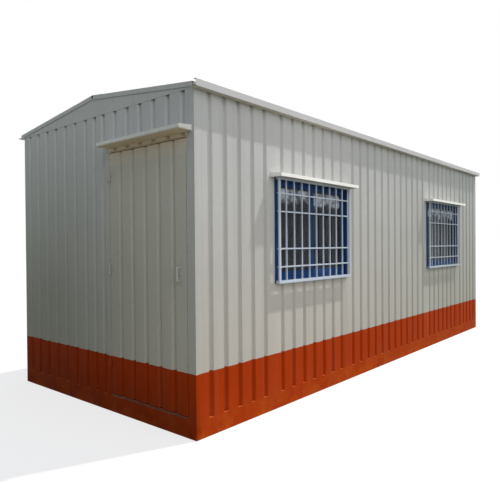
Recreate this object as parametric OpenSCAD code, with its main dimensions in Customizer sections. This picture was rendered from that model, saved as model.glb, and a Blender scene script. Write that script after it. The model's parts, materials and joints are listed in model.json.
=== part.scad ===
// Portable site cabin: steel posts and rails, ribbed steel cladding over lined walls,
// a low double-pitch ribbed roof, two barred sliding windows and one outward door.

/* [Cabin] */
// Length of the base, along X
cabin_l = 6100; // [5200:10:7400]
// Width of the base, along Y
cabin_w = 2440; // [2200:10:3000]
// Height of the roof sheet's underside at the outer wall face
eave_z = 2423; // [2360:1:2700]
// Slope of each roof half in degrees
roof_slope = 6.6; // [5:0.1:9]

/* [Base] */
// Height of the base rails
base_h = 130; // [110:1:160]
// Width of the base rails
base_rail_w = 60; // [50:1:66]
// Width of each floor joist
joist_w = 50; // [40:1:70]
// Number of floor joists, one of them in the middle
joist_n = 9; // [5:2:13]
// Thickness of the floor deck
deck_t = 20; // [15:1:30]

/* [Walls] */
// Side of the square corner posts, which is also the wall's thickness
post_w = 70; // [64:1:90]
// Thickness of the ribbed wall sheet
sheet_t = 1.6; // [1:0.1:3]
// Width of a wall groove at its mouth
groove_mouth = 48; // [40:1:60]
// Width of a wall groove at its floor
groove_floor = 24; // [16:1:32]
// Depth of a wall groove
groove_d = 22; // [12:1:26]
// Spacing that the wall grooves come closest to
groove_pitch = 158; // [120:1:200]
// First groove centre from a corner, on the long walls
side_corner_edge = 148; // [130:1:170]
// First groove centre from a corner, on the end walls
end_corner_edge = 115; // [105:1:140]
// Groove centre from a joint line, on the long walls
side_joint_edge = 112; // [90:1:140]
// Groove centre from a joint line, on the end walls
end_joint_edge = 95; // [80:1:120]
// Length of the narrow strip of sheet beside the door
end_strip_l = 261; // [230:1:300]
// Groove centre from that strip's joint lines
end_strip_edge = 68; // [55:1:75]
// Length of the bay between a corner and a window bay
end_bay_l = 870; // [800:1:1000]
// Height of the corner posts, and of the end walls' ribbed sheet where it shows
end_sheet_z = 2410; // [2340:1:2415]
// Distance that the ribbed sheet runs up behind the flat gable plate
gable_lap = 16; // [8:1:18]
// Height of the rails on top of the walls
rail_h = 50; // [40:1:70]

/* [Roof] */
// Thickness of the roof sheets and folded trims
roof_t = 1.5; // [1:0.1:3]
// Height of a roof rib
rib_h = 23; // [18:1:24]
// Width of a roof rib at its foot
rib_foot = 60; // [50:1:80]
// Width of a roof rib at its top
rib_top = 30; // [20:1:40]
// Spacing that the roof ribs come closest to
rib_pitch = 205; // [160:1:300]
// Distance that the roof runs past the end walls
roof_end_over = 6; // [4:1:40]
// Distance that the roof sheet runs past the long walls
roof_side_over = 44; // [36:1:48]
// Width of the ridge cap on each slope
ridge_cap_w = 150; // [120:1:220]
// Half of the gap between the two roof sheets at the ridge
ridge_gap = 8; // [4:1:12]
// Width of the ridge beam
ridge_beam_w = 60; // [50:1:90]
// Distance that the eave channel stands out from the long walls
fascia_out = 54; // [53:1:80]
// Distance that the eave channel runs past the end walls
channel_over = 31; // [10:1:60]
// Height of the eave channel
fascia_h = 48; // [46:1:70]
// Height of the eave channel's foot
fascia_z = 2403; // [2396:1:2404]
// Depth of the eave channel's top lip
fascia_lip = 24; // [18:1:30]
// Height of the back eave's drip angle
drip_h = 15; // [10:1:18]
// Width of the verge trim on the roof
verge_w = 44; // [40:1:60]
// Drop of the verge trim below the roof sheet
verge_drop = 9; // [6:1:20]
// Thickness of the flat gable panels
gable_t = 2; // [1.5:0.1:4]
// Height of the ceiling's underside
ceiling_z = 2300; // [2250:1:2320]
// Thickness of the ceiling lining
ceiling_t = 12; // [8:1:20]

/* [Windows] */
// Width of a window opening
window_w = 1150; // [1000:1:1250]
// Height of a window opening
window_h = 865; // [700:1:900]
// Height of a window opening's foot
window_z = 1020; // [900:1:1080]
// Wall between a window opening and the bay's joint lines
window_margin = 12.5; // [5:0.5:40]
// Face width of the fixed window frame
frame_face = 26; // [20:1:40]
// Distance that the window frame stands out of the wall
frame_out = 12; // [4:1:16]
// Face width of the sliding sashes' stiles and heads
sash_face = 40; // [34:1:50]
// Face width of the sliding sashes' foot rails
sash_foot = 70; // [50:1:90]
// Thickness of a sliding sash
sash_t = 20; // [16:1:24]
// Set-back of the outer sash from the wall face
sash_inset = 8; // [5:1:12]
// Overlap of the two sashes at the middle
sash_overlap = 6; // [2:1:20]
// Thickness of the glass
glass_t = 5; // [4:1:8]

/* [Window guard] */
// Distance that the guard's front stands out from the wall
guard_out = 46; // [44:1:70]
// Set-back from the surround to the cross bars, and from those to the uprights
guard_step = 8; // [6:1:10]
// Thickness of the legs that the surround's head and foot turn back
guard_leg = 4; // [3:0.5:6]
// Distance that the guard's head stands above the window opening
guard_rise = 6; // [0:1:10]
// Side of the guard's square bars
guard_bar = 12; // [10:1:16]
// Face width of the guard's surround
guard_surround = 25; // [20:1:28]
// Number of upright bars between the surround's sides
guard_uprights = 9; // [5:1:13]
// Outer cross bars, from the guard's head or foot
guard_cross_outer = 136; // [110:1:160]
// Inner cross bars, from the guard's head or foot
guard_cross_inner = 284; // [220:1:330]

/* [Sunshade and canopy] */
// Width of a window's sunshade
shade_w = 1250; // [1190:1:1400]
// Distance that a sunshade stands out
shade_out = 110; // [90:1:160]
// Height of a sunshade at the wall
shade_back_h = 38; // [32:1:60]
// Height of a sunshade at its front
shade_front_h = 28; // [18:1:32]
// Height of a sunshade's foot above the window opening's head
shade_rise = -4; // [-6:1:10]
// Width of the door canopy
canopy_w = 970; // [940:1:1010]
// Distance that the door canopy stands out
canopy_out = 120; // [90:1:160]
// Height of the door canopy at the wall
canopy_back_h = 40; // [34:1:60]
// Height of the door canopy at its front
canopy_front_h = 32; // [20:1:33]
// Shift of the door canopy towards the corner, from the middle of the door
canopy_shift = 30; // [0:1:45]
// Gap between the door frame's head and the canopy
canopy_gap = 22; // [10:1:30]
// Thickness of the folded shade and canopy sheet
shade_t = 2; // [1.5:0.1:4]
// Height of the fixing flange inside the shades and canopy
shade_flange = 16; // [10:1:18]

/* [Door] */
// Width of the door leaf
leaf_w = 900; // [800:1:1000]
// Height of the door leaf
leaf_h = 1930; // [1850:1:1950]
// Thickness of the door leaf
leaf_t = 45; // [40:1:50]
// Gap round the door leaf
door_gap = 6; // [5:0.5:10]
// Face width of the door frame
jamb_face = 10; // [8:1:20]
// Distance that the door stop reaches behind the leaf
stop_reach = 18; // [12:1:30]
// Thickness of the threshold plate
threshold_t = 12; // [8:1:20]
// First groove centre from the door leaf's edges
leaf_edge = 137; // [90:1:170]

/* [Hinges and lock] */
// Radius of the hinge barrels
hinge_r = 8; // [7:0.5:12]
// Radius of the hinge pins
hinge_pin_r = 4; // [3:0.5:5]
// Running clearance of the hinge pins
hinge_fit = 0.05; // [0.02:0.01:0.1]
// Length of each half of a hinge
hinge_half = 45; // [35:1:60]
// Thickness of the hinge flaps
hinge_flap_t = 3; // [2:0.5:5]
// Width of the hinge flaps
hinge_flap_w = 42; // [30:1:60]
// Top hinge's middle below the leaf's top
hinge_top_inset = 185; // [150:1:260]
// Distance between hinges
hinge_pitch = 741; // [600:1:780]
// Gap between the two halves of a hinge, and beside its flaps
hinge_gap = 0.5; // [0.3:0.1:1]
// Lock plate's middle from the leaf's free edge
lock_inset = 64; // [40:1:100]
// Height of the lock plate's middle above the leaf's foot
lock_z = 987; // [850:1:1100]
// Width of the lock plate
lock_w = 46; // [36:1:60]
// Height of the lock plate
lock_h = 140; // [120:1:180]
// Thickness of the lock plate
lock_t = 3; // [2:0.5:5]
// Radius of the pull handle's bar
pull_r = 6; // [5:0.5:8]
// Distance between the pull handle's feet
pull_span = 92; // [80:1:110]
// Distance that the pull handle stands out
pull_out = 36; // [30:1:50]
// Radius of the lock's key cylinder
key_r = 9; // [7:0.5:12]
// Distance that the key cylinder stands out of its plate
key_out = 6; // [4:1:10]

/* [Hidden] */
$fn = 48;
// Clearance between pieces that seat on each other without welding
seat = 0.3;
half_l = cabin_l / 2;
half_w = cabin_w / 2;
skin_d = groove_d + sheet_t;
core_t = post_w - skin_d;
roof_tan = tan(roof_slope);
roof_cos = cos(roof_slope);
function roof_under(depth) = eave_z + depth * roof_tan;
side_sheet_z = eave_z - 2;
rail_top = roof_under(skin_d) - seat;
rail_z = rail_top - rail_h;
wall_top = rail_z - seat;
window_bay_l = window_w + 2 * window_margin;
window_mid = end_bay_l + window_bay_l / 2;
window_head = window_z + window_h;
door_frame_w = leaf_w + 2 * door_gap + 2 * jamb_face;
door_u0 = post_w;
door_u1 = post_w + door_frame_w;
leaf_u0 = door_u0 + jamb_face + door_gap;
leaf_u1 = leaf_u0 + leaf_w;
leaf_z = base_h + threshold_t + door_gap;
leaf_head = leaf_z + leaf_h;
head_z = leaf_head + door_gap;
door_head_z = head_z + jamb_face;
stop_d = leaf_t + door_gap;
hinge_u = leaf_u1 + door_gap / 2;
hinge_d = -(hinge_r + 1);
hinge_heights = [for (i = [0 : 2]) leaf_head - hinge_top_inset - i * hinge_pitch];
roof_half_l = half_l + roof_end_over;
roof_slope_l = half_w / roof_cos - ridge_gap;
roof_side_l = roof_side_over / roof_cos;
trim_level = roof_t + rib_h + seat;
cap_level = trim_level + roof_t + seat;

// Groove and rib centres: evenly spaced from one edge to the other
function bay_centres(from, to, edge_from, edge_to, pitch) =
    let (span = to - from - edge_from - edge_to, n = max(1, round(span / pitch)))
    [for (i = [0 : n]) from + edge_from + i * span / n];

side_joints = [end_bay_l, end_bay_l + window_bay_l,
    cabin_l - end_bay_l - window_bay_l, cabin_l - end_bay_l];
side_grooves = concat(
    bay_centres(0, side_joints[0], side_corner_edge, side_joint_edge, groove_pitch),
    bay_centres(side_joints[0], side_joints[1], side_joint_edge, side_joint_edge, groove_pitch),
    bay_centres(side_joints[1], side_joints[2], side_joint_edge, side_joint_edge, groove_pitch),
    bay_centres(side_joints[2], side_joints[3], side_joint_edge, side_joint_edge, groove_pitch),
    bay_centres(side_joints[3], cabin_l, side_joint_edge, side_corner_edge, groove_pitch));
door_joint = door_u1 + jamb_face;
strip_joint = door_joint + end_strip_l;
door_end_grooves = concat(
    bay_centres(0, door_joint, end_corner_edge, end_joint_edge, groove_pitch),
    bay_centres(door_joint, strip_joint, end_strip_edge, end_strip_edge, groove_pitch),
    bay_centres(strip_joint, cabin_w, end_strip_edge, end_corner_edge, groove_pitch));
far_end_grooves = concat(
    bay_centres(0, half_w, end_corner_edge, end_joint_edge, groove_pitch),
    bay_centres(half_w, cabin_w, end_joint_edge, end_corner_edge, groove_pitch));
leaf_grooves = bay_centres(leaf_u0, leaf_u1, leaf_edge, leaf_edge, groove_pitch);

wall_grey = "gainsboro";
red_oxide = "firebrick";
frame_blue = "midnightblue";
steel_grey = "silver";
lining_white = "whitesmoke";

// Wall frames: u runs along the wall, d goes in from its outer face, z is up
module on_front() { translate([-half_l, -half_w, 0]) children(); }
module on_back() { translate([-half_l, half_w, 0]) mirror([0, 1, 0]) children(); }
module on_door_end() { translate([-half_l, -half_w, 0]) mirror([1, -1, 0]) children(); }
module on_far_end() { translate([half_l, -half_w, 0]) rotate([0, 0, 90]) children(); }

// A block between two corners given in u, d, z
module block(low, high) { translate(low) cube(high - low); }

// One slab of lined wall behind the ribbed sheet
module wall_slab(u0, u1, z0, z1) { block([u0, skin_d, z0], [u1, post_w, z1]); }

// Outline of a ribbed sheet with trapezoid grooves that go in from the outer face
function groove_line(centres, shift, level, depth) =
    [for (c = centres) each [
        [c - groove_mouth / 2 - shift, level], [c - groove_floor / 2 - shift, depth],
        [c + groove_floor / 2 + shift, depth], [c + groove_mouth / 2 + shift, level]]];
function reversed(list) = [for (i = [len(list) - 1 : -1 : 0]) list[i]];
groove_angle = atan2(groove_d, (groove_mouth - groove_floor) / 2);
fold_shift = sheet_t * tan(groove_angle / 2);

module ribbed_sheet(u0, u1, z0, z1, centres) {
    outer = concat([[u0, 0]], groove_line(centres, 0, 0, groove_d), [[u1, 0]]);
    inner = concat([[u0, sheet_t]], groove_line(centres, fold_shift, sheet_t, skin_d), [[u1, sheet_t]]);
    translate([0, 0, z0])
        linear_extrude(z1 - z0)
            polygon(concat(outer, reversed(inner)));
}

// Roof frame: x along the ridge, y up the slope from the wall face, z off the sheet
module on_roof_front() { translate([0, -half_w, eave_z]) rotate([roof_slope, 0, 0]) children(); }
module on_roof_back() { mirror([0, 1, 0]) on_roof_front() children(); }

// Base frame
module base_side_rails() {
    color(red_oxide) {
        on_front() block([0, 0, 0], [cabin_l, base_rail_w, base_h]);
        on_back() block([0, 0, 0], [cabin_l, base_rail_w, base_h]);
    }
}

module base_end_rails() {
    color(red_oxide) {
        on_door_end() block([base_rail_w, 0, 0], [cabin_w - base_rail_w, base_rail_w, base_h]);
        on_far_end() block([base_rail_w, 0, 0], [cabin_w - base_rail_w, base_rail_w, base_h]);
    }
}

module base_joists() {
    spacing = (cabin_l - 2 * base_rail_w) / (joist_n + 1);
    inner_half = half_w - base_rail_w;
    color(steel_grey)
        for (i = [1 : joist_n])
            translate([-half_l + base_rail_w + i * spacing, 0, 0])
                block([-joist_w / 2, -inner_half, 0], [joist_w / 2, inner_half, base_h - deck_t]);
}

module floor_deck() {
    x = half_l - base_rail_w;
    y = half_w - base_rail_w;
    color("burlywood") block([-x, -y, base_h - deck_t], [x, y, base_h]);
}

module corner_posts() {
    color(wall_grey)
        for (sx = [0, 1], sy = [0, 1])
            mirror([sx, 0, 0]) mirror([0, sy, 0])
                block([-half_l, -half_w, base_h], [-half_l + post_w, -half_w + post_w, end_sheet_z]);
}

// Walls behind the sheets
side_u0 = post_w;
side_u1 = cabin_l - post_w;
end_u1 = cabin_w - post_w;
window_mids = [window_mid, cabin_l - window_mid];

module front_wall_lower() { color(lining_white) on_front() wall_slab(side_u0, side_u1, base_h, window_z); }

module front_wall_upper() { color(lining_white) on_front() wall_slab(side_u0, side_u1, window_head, wall_top); }

module front_wall_piers() {
    edges = concat([side_u0], [for (m = window_mids) each [m - window_w / 2, m + window_w / 2]], [side_u1]);
    color(lining_white)
        on_front()
            for (i = [0 : 2 : len(edges) - 2]) wall_slab(edges[i], edges[i + 1], window_z, window_head);
}

module back_wall() { color(lining_white) on_back() wall_slab(side_u0, side_u1, base_h, wall_top); }

module door_end_wall() { color(lining_white) on_door_end() wall_slab(door_u1, end_u1, base_h, wall_top); }

module door_end_wall_over_door() {
    color(lining_white) on_door_end() wall_slab(door_u0, door_u1, door_head_z, wall_top);
}

module far_end_wall() { color(lining_white) on_far_end() wall_slab(post_w, end_u1, base_h, wall_top); }

// Ribbed steel cladding
module window_hole(mid) {
    block([mid - window_w / 2, -1, window_z], [mid + window_w / 2, skin_d + 1, window_head]);
}

module front_cladding() {
    color(wall_grey)
        on_front()
            difference() {
                ribbed_sheet(side_u0, side_u1, base_h, side_sheet_z, side_grooves);
                for (m = window_mids) window_hole(m);
            }
}

module back_cladding() {
    color(wall_grey) on_back() ribbed_sheet(side_u0, side_u1, base_h, side_sheet_z, side_grooves);
}

module door_end_cladding() {
    color(wall_grey)
        on_door_end()
            difference() {
                ribbed_sheet(post_w, end_u1, base_h, end_sheet_z + gable_lap, door_end_grooves);
                block([door_u0 - 1, -1, base_h - 1], [door_u1, skin_d + 1, door_head_z]);
            }
}

module far_end_cladding() {
    color(wall_grey)
        on_far_end() ribbed_sheet(post_w, end_u1, base_h, end_sheet_z + gable_lap, far_end_grooves);
}

// Rails on top of the walls, and what carries the roof and the ceiling
module eave_rails() {
    color(steel_grey) {
        on_front() wall_slab(side_u0, side_u1, rail_z, rail_top);
        on_back() wall_slab(side_u0, side_u1, rail_z, rail_top);
    }
}

module end_rails() {
    color(steel_grey) {
        on_door_end() wall_slab(post_w, end_u1, rail_z, rail_top);
        on_far_end() wall_slab(post_w, end_u1, rail_z, rail_top);
    }
}

module ridge_beam() {
    top = roof_under(half_w - ridge_beam_w / 2) - seat;
    x = half_l - skin_d;
    y = ridge_beam_w / 2;
    color(steel_grey) block([-x, -y, rail_top], [x, y, top]);
}

module ceiling_panel() {
    x = half_l - post_w;
    y = half_w - post_w;
    color(lining_white) block([-x, -y, ceiling_z], [x, y, ceiling_z + ceiling_t]);
}

// Flat gable plate that laps over the top of the ribbed sheet and leaves its grooves open below
module gable_panel() {
    foot = end_sheet_z - gable_t;
    outline = [[0, foot], [cabin_w, foot], [cabin_w, roof_under(0) - seat],
        [half_w, roof_under(half_w) - seat], [0, roof_under(0) - seat]];
    rotate([90, 0, 0])
        linear_extrude(gable_t) polygon(outline);
}

module gable_panels() {
    color(wall_grey) {
        on_door_end() gable_panel();
        on_far_end() gable_panel();
    }
}

// Roof sheet with ribs that run down the slope
rib_margin = rib_foot / 2 + 2;
rib_centres = bay_centres(-roof_half_l, roof_half_l, rib_margin, rib_margin, rib_pitch);
rib_fold = roof_t * tan(atan2(rib_h, (rib_foot - rib_top) / 2) / 2);
function rib_line(shift, level) =
    [for (c = rib_centres) each [
        [c - rib_foot / 2 + shift, level], [c - rib_top / 2 + shift, level + rib_h],
        [c + rib_top / 2 - shift, level + rib_h], [c + rib_foot / 2 - shift, level]]];

module roof_sheet() {
    under = concat([[-roof_half_l, 0]], rib_line(rib_fold, 0), [[roof_half_l, 0]]);
    over = concat([[-roof_half_l, roof_t]], rib_line(0, roof_t), [[roof_half_l, roof_t]]);
    translate([0, roof_slope_l, 0])
        rotate([90, 0, 0])
            linear_extrude(roof_slope_l + roof_side_l) polygon(concat(under, reversed(over)));
}

module roof_sheet_front() { color(wall_grey) on_roof_front() roof_sheet(); }

module roof_sheet_back() { color(wall_grey) on_roof_back() roof_sheet(); }

// Ridge cap: one folded strip that lies over the ribs and the verge trims
module ridge_cap() {
    run = ridge_cap_w * roof_cos;
    drop = ridge_cap_w * sin(roof_slope);
    crown = roof_under(half_w) + cap_level / roof_cos;
    rise = roof_t / roof_cos;
    outline = [[-run, crown - drop], [0, crown], [run, crown - drop],
        [run, crown - drop + rise], [0, crown + rise], [-run, crown - drop + rise]];
    color(wall_grey)
        translate([-roof_half_l, 0, 0])
            rotate([90, 0, 90])
                linear_extrude(2 * roof_half_l) polygon(outline);
}

// Eave channel: a folded C whose foot reaches back to the wall as the soffit
module eave_channel() {
    top = fascia_z + fascia_h;
    outline = [[0, fascia_z], [-fascia_out, fascia_z], [-fascia_out, top],
        [-fascia_out + fascia_lip, top], [-fascia_out + fascia_lip, top - roof_t],
        [-fascia_out + roof_t, top - roof_t], [-fascia_out + roof_t, fascia_z + roof_t],
        [0, fascia_z + roof_t]];
    along_eave() polygon(outline);
}

// Drip angle of the back eave: a soffit like the channel's, with a low upstand outside the sheet's edge
module eave_drip() {
    outline = [[0, fascia_z], [-fascia_out, fascia_z], [-fascia_out, fascia_z + drip_h],
        [-fascia_out + roof_t, fascia_z + drip_h], [-fascia_out + roof_t, fascia_z + roof_t],
        [0, fascia_z + roof_t]];
    along_eave() polygon(outline);
}

// Run a section of an eave along the whole wall and past both ends
module along_eave() {
    translate([-channel_over, 0, 0])
        rotate([90, 0, 90])
            linear_extrude(cabin_l + 2 * channel_over) children();
}

module eave_channels() {
    color(wall_grey) {
        on_front() eave_channel();
        on_back() eave_drip();
    }
}

// Verge trims: folded angles along the four sloping roof edges
module verge_trim() {
    top = trim_level + roof_t;
    outline = [[0, -verge_drop], [roof_t, -verge_drop], [roof_t, top], [roof_t - verge_w, top],
        [roof_t - verge_w, trim_level], [0, trim_level]];
    foot = ridge_gap;
    translate([roof_half_l, roof_slope_l, 0])
        rotate([90, 0, 0])
            linear_extrude(roof_slope_l - foot) polygon(outline);
}

module verge_trims() {
    color(wall_grey)
        for (side = [0, 1])
            mirror([side, 0, 0]) {
                on_roof_front() verge_trim();
                on_roof_back() verge_trim();
            }
}

// Windows: a fixed frame of four members, two sliding sashes and their glass
module window_frame() {
    x = window_w / 2;
    color(frame_blue)
        for (side = [0, 1])
            mirror([side, 0, 0])
                block([-x, -frame_out, window_z + frame_face + seat],
                    [-x + frame_face, post_w, window_head - frame_face - seat]);
    color(frame_blue)
        for (z = [window_z, window_head - frame_face])
            block([-x, -frame_out, z], [x, post_w, z + frame_face]);
}

pane_h = window_h - 2 * frame_face - 2 * seat;
sash_w = window_w / 2 - frame_face - seat + sash_overlap / 2;
sash_z = window_z + frame_face + seat;

module sash(inset) {
    difference() {
        block([0, inset, sash_z], [sash_w, inset + sash_t, sash_z + pane_h]);
        block([sash_face, inset - 1, sash_z + sash_foot],
            [sash_w - sash_face, inset + sash_t + 1, sash_z + pane_h - sash_face]);
    }
}

module sash_glass(inset) {
    d = inset + (sash_t - glass_t) / 2;
    block([sash_face + seat, d, sash_z + sash_foot + seat],
        [sash_w - sash_face - seat, d + glass_t, sash_z + pane_h - sash_face - seat]);
}

sash_lefts = [-window_w / 2 + frame_face + seat, window_w / 2 - frame_face - seat - sash_w];
sash_insets = [sash_inset, sash_inset + sash_t + 2];

module window_sashes() {
    color(frame_blue)
        for (i = [0, 1]) translate([sash_lefts[i], 0, 0]) sash(sash_insets[i]);
}

module window_glass() {
    color("slategray")
        for (i = [0, 1]) translate([sash_lefts[i], 0, 0]) sash_glass(sash_insets[i]);
}

// Burglar bars: a welded surround, cross bars behind it and uprights behind those, stayed off the frame
module window_guard() {
    x = window_w / 2;
    head = window_head + guard_rise;
    face = -guard_out;
    back = face + guard_bar;
    cross = face + guard_step;
    upright = cross + guard_step;
    first = -x + guard_surround / 2;
    spacing = (window_w - guard_surround) / (guard_uprights + 1);
    levels = [window_z + guard_cross_outer, window_z + guard_cross_inner,
        head - guard_cross_inner, head - guard_cross_outer];
    color("white") {
        for (side = [0, 1])
            mirror([side, 0, 0]) block([-x, face, window_z], [-x + guard_surround, back, head]);
        for (z = [window_z, head - guard_surround]) {
            block([-x, face, z], [x, back, z + guard_surround]);
            for (side = [0, 1])
                mirror([side, 0, 0])
                    block([-x, face, max(z, window_z)],
                        [-x + guard_bar, -frame_out, min(z + guard_surround, window_head)]);
        }
        for (z = [window_z, head - guard_leg])
            block([-x, face, z], [x, upright + guard_bar, z + guard_leg]);
        for (i = [1 : guard_uprights])
            translate([first + i * spacing, 0, 0])
                block([-guard_bar / 2, upright, window_z], [guard_bar / 2, upright + guard_bar, head]);
        for (z = levels)
            block([-x, cross, z - guard_bar / 2], [x, cross + guard_bar, z + guard_bar / 2]);
    }
}

// A folded tray that is open below, with a fixing flange inside it against the wall
module folded_tray(width, out, back_h, front_h) {
    profile = [[0, 0], [-out, 0], [-out, front_h], [0, back_h]];
    hollow = [[shade_t, -1], [shade_t - out, -1], [shade_t - out, front_h - shade_t],
        [0, back_h - shade_t], [shade_t, back_h - shade_t]];
    difference() {
        translate([-width / 2, 0, 0]) rotate([90, 0, 90]) linear_extrude(width) polygon(profile);
        translate([-width / 2 + shade_t, 0, 0])
            rotate([90, 0, 90]) linear_extrude(width - 2 * shade_t) polygon(hollow);
    }
    block([-width / 2, -shade_t, back_h - shade_flange], [width / 2, 0, back_h]);
}

module window_sunshade() {
    color("white")
        translate([0, 0, window_head + shade_rise])
            folded_tray(shade_w, shade_out, shade_back_h, shade_front_h);
}

module at_left_window() { on_front() translate([window_mids[0], 0, 0]) children(); }
module at_right_window() { on_front() translate([window_mids[1], 0, 0]) children(); }

module left_window_frame() { at_left_window() window_frame(); }
module left_window_sashes() { at_left_window() window_sashes(); }
module left_window_glass() { at_left_window() window_glass(); }
module left_window_guard() { at_left_window() window_guard(); }
module left_window_sunshade() { at_left_window() window_sunshade(); }
module right_window_frame() { at_right_window() window_frame(); }
module right_window_sashes() { at_right_window() window_sashes(); }
module right_window_glass() { at_right_window() window_glass(); }
module right_window_guard() { at_right_window() window_guard(); }
module right_window_sunshade() { at_right_window() window_sunshade(); }

// Door frame: two rebated jambs, a rebated head and a threshold plate
module door_jamb(z1) {
    outline = [[0, 0], [jamb_face, 0], [jamb_face, stop_d],
        [jamb_face + stop_reach, stop_d], [jamb_face + stop_reach, post_w], [0, post_w]];
    translate([0, 0, base_h]) linear_extrude(z1 - base_h) polygon(outline);
}

module door_jambs() {
    color(wall_grey)
        on_door_end() {
            translate([door_u0, 0, 0]) door_jamb(head_z);
            translate([door_u1, 0, 0]) mirror([1, 0, 0]) door_jamb(head_z);
        }
}

module door_head() {
    reach = jamb_face + stop_reach;
    color(wall_grey)
        on_door_end() {
            block([door_u0, 0, head_z], [door_u1, post_w, door_head_z]);
            block([door_u0 + reach + seat, stop_d, head_z - stop_reach],
                [door_u1 - reach - seat, post_w, head_z + 1]);
        }
}

module door_threshold() {
    color("dimgray")
        on_door_end()
            difference() {
                block([door_u0 + jamb_face + seat, 0, base_h],
                    [door_u1 - jamb_face - seat, post_w, base_h + threshold_t]);
                for (u = [door_u0, door_u1 - jamb_face - stop_reach - seat])
                    block([u, stop_d - seat, base_h - 1],
                        [u + jamb_face + stop_reach + seat, post_w + 1, base_h + threshold_t + 1]);
            }
}

module door_canopy() {
    color(wall_grey)
        on_door_end()
            translate([(door_u0 + door_u1) / 2 - canopy_shift, 0, door_head_z + canopy_gap])
                folded_tray(canopy_w, canopy_out, canopy_back_h, canopy_front_h);
}

// Hinges: a barrel and pin on the frame, a bored barrel on the leaf above it
module door_hinge_seats() {
    color(wall_grey)
        on_door_end()
            for (z = hinge_heights)
                translate([hinge_u, hinge_d, z - hinge_half]) {
                    cylinder(r = hinge_r, h = hinge_half);
                    cylinder(r = hinge_pin_r, h = 1.7 * hinge_half);
                    block([0, -hinge_d - hinge_flap_t, 0], [hinge_flap_w, -hinge_d, hinge_half]);
                }
}

module door_hinge_barrels() {
    color(wall_grey)
        on_door_end()
            for (z = hinge_heights)
                translate([hinge_u, hinge_d, z + hinge_gap])
                    difference() {
                        union() {
                            cylinder(r = hinge_r, h = hinge_half);
                            block([-hinge_flap_w, -hinge_d - hinge_flap_t, 0], [0, -hinge_d, hinge_half]);
                        }
                        translate([0, 0, -1])
                            cylinder(r = hinge_pin_r + hinge_fit, h = 0.8 * hinge_half + 1);
                    }
}

// Door leaf with the same grooves as the wall
module door_leaf() {
    outline = concat([[leaf_u0, leaf_t], [leaf_u0, 0]],
        groove_line(leaf_grooves, 0, 0, groove_d), [[leaf_u1, 0], [leaf_u1, leaf_t]]);
    color(wall_grey)
        on_door_end() translate([0, 0, leaf_z]) linear_extrude(leaf_h) polygon(outline);
}

lock_u = leaf_u0 + lock_inset;
lock_mid = leaf_z + lock_z;

module door_lock_plate() {
    color(wall_grey)
        on_door_end()
            translate([lock_u, 0, lock_mid]) {
                block([-lock_w / 2, -lock_t, -lock_h / 2], [lock_w / 2, 0, lock_h / 2]);
                rotate([90, 0, 0]) cylinder(r = key_r, h = lock_t + key_out);
            }
}

// Pull handle: a bent round bar on two feet
module door_pull() {
    bend = pull_out - pull_r;
    color(steel_grey)
        on_door_end()
            translate([lock_u, -lock_t, lock_mid]) {
                for (side = [-1, 1])
                    translate([0, 0, side * pull_span / 2]) {
                        rotate([90, 0, 0]) cylinder(r = pull_r, h = bend);
                        translate([0, -bend, 0]) sphere(r = pull_r);
                    }
                translate([0, -bend, -pull_span / 2]) cylinder(r = pull_r, h = pull_span);
            }
}

base_side_rails();
base_end_rails();
base_joists();
floor_deck();
corner_posts();
front_wall_lower();
front_wall_upper();
front_wall_piers();
back_wall();
door_end_wall();
door_end_wall_over_door();
far_end_wall();
front_cladding();
back_cladding();
door_end_cladding();
far_end_cladding();
eave_rails();
end_rails();
ridge_beam();
ceiling_panel();
gable_panels();
roof_sheet_front();
roof_sheet_back();
ridge_cap();
eave_channels();
verge_trims();
left_window_frame();
left_window_sashes();
left_window_glass();
left_window_guard();
left_window_sunshade();
right_window_frame();
right_window_sashes();
right_window_glass();
right_window_guard();
right_window_sunshade();
door_jambs();
door_head();
door_threshold();
door_canopy();
door_hinge_seats();
door_leaf();
door_hinge_barrels();
door_lock_plate();
door_pull();
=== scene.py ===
"""Portable site cabin: the finish of every piece, and the light and camera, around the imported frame."""

from __future__ import annotations

import json
import logging
import math
from dataclasses import dataclass, field, fields
from enum import Enum, IntEnum
from typing import Iterable, Sequence

import bmesh
import bpy
from mathutils import Matrix, Vector

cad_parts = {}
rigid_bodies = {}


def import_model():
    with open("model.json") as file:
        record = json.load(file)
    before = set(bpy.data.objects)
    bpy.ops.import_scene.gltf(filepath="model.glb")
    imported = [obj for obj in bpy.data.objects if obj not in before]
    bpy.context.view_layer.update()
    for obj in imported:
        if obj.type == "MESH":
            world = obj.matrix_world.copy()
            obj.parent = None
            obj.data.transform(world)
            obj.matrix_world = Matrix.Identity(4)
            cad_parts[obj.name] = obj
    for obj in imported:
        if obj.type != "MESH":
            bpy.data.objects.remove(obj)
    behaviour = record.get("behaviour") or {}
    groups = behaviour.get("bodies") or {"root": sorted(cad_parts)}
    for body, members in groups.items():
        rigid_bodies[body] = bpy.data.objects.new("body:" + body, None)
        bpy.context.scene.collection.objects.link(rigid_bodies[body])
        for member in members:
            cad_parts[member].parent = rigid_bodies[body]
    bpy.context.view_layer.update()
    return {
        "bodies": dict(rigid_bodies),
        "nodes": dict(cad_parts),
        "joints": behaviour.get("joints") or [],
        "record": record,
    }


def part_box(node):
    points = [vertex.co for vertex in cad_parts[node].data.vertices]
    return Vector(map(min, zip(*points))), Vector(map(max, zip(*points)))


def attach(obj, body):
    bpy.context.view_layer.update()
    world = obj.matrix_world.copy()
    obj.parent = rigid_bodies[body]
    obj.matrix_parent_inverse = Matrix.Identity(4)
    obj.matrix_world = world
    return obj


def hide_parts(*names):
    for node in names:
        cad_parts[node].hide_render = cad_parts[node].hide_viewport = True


log = logging.getLogger("cabin")

Colour = tuple[float, float, float, float]
Point = tuple[float, float, float]
Span = tuple[float, float]
Mark = tuple[Point, Point]
Pane = tuple[Vector, Vector]
Socket = bpy.types.NodeSocket

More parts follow.
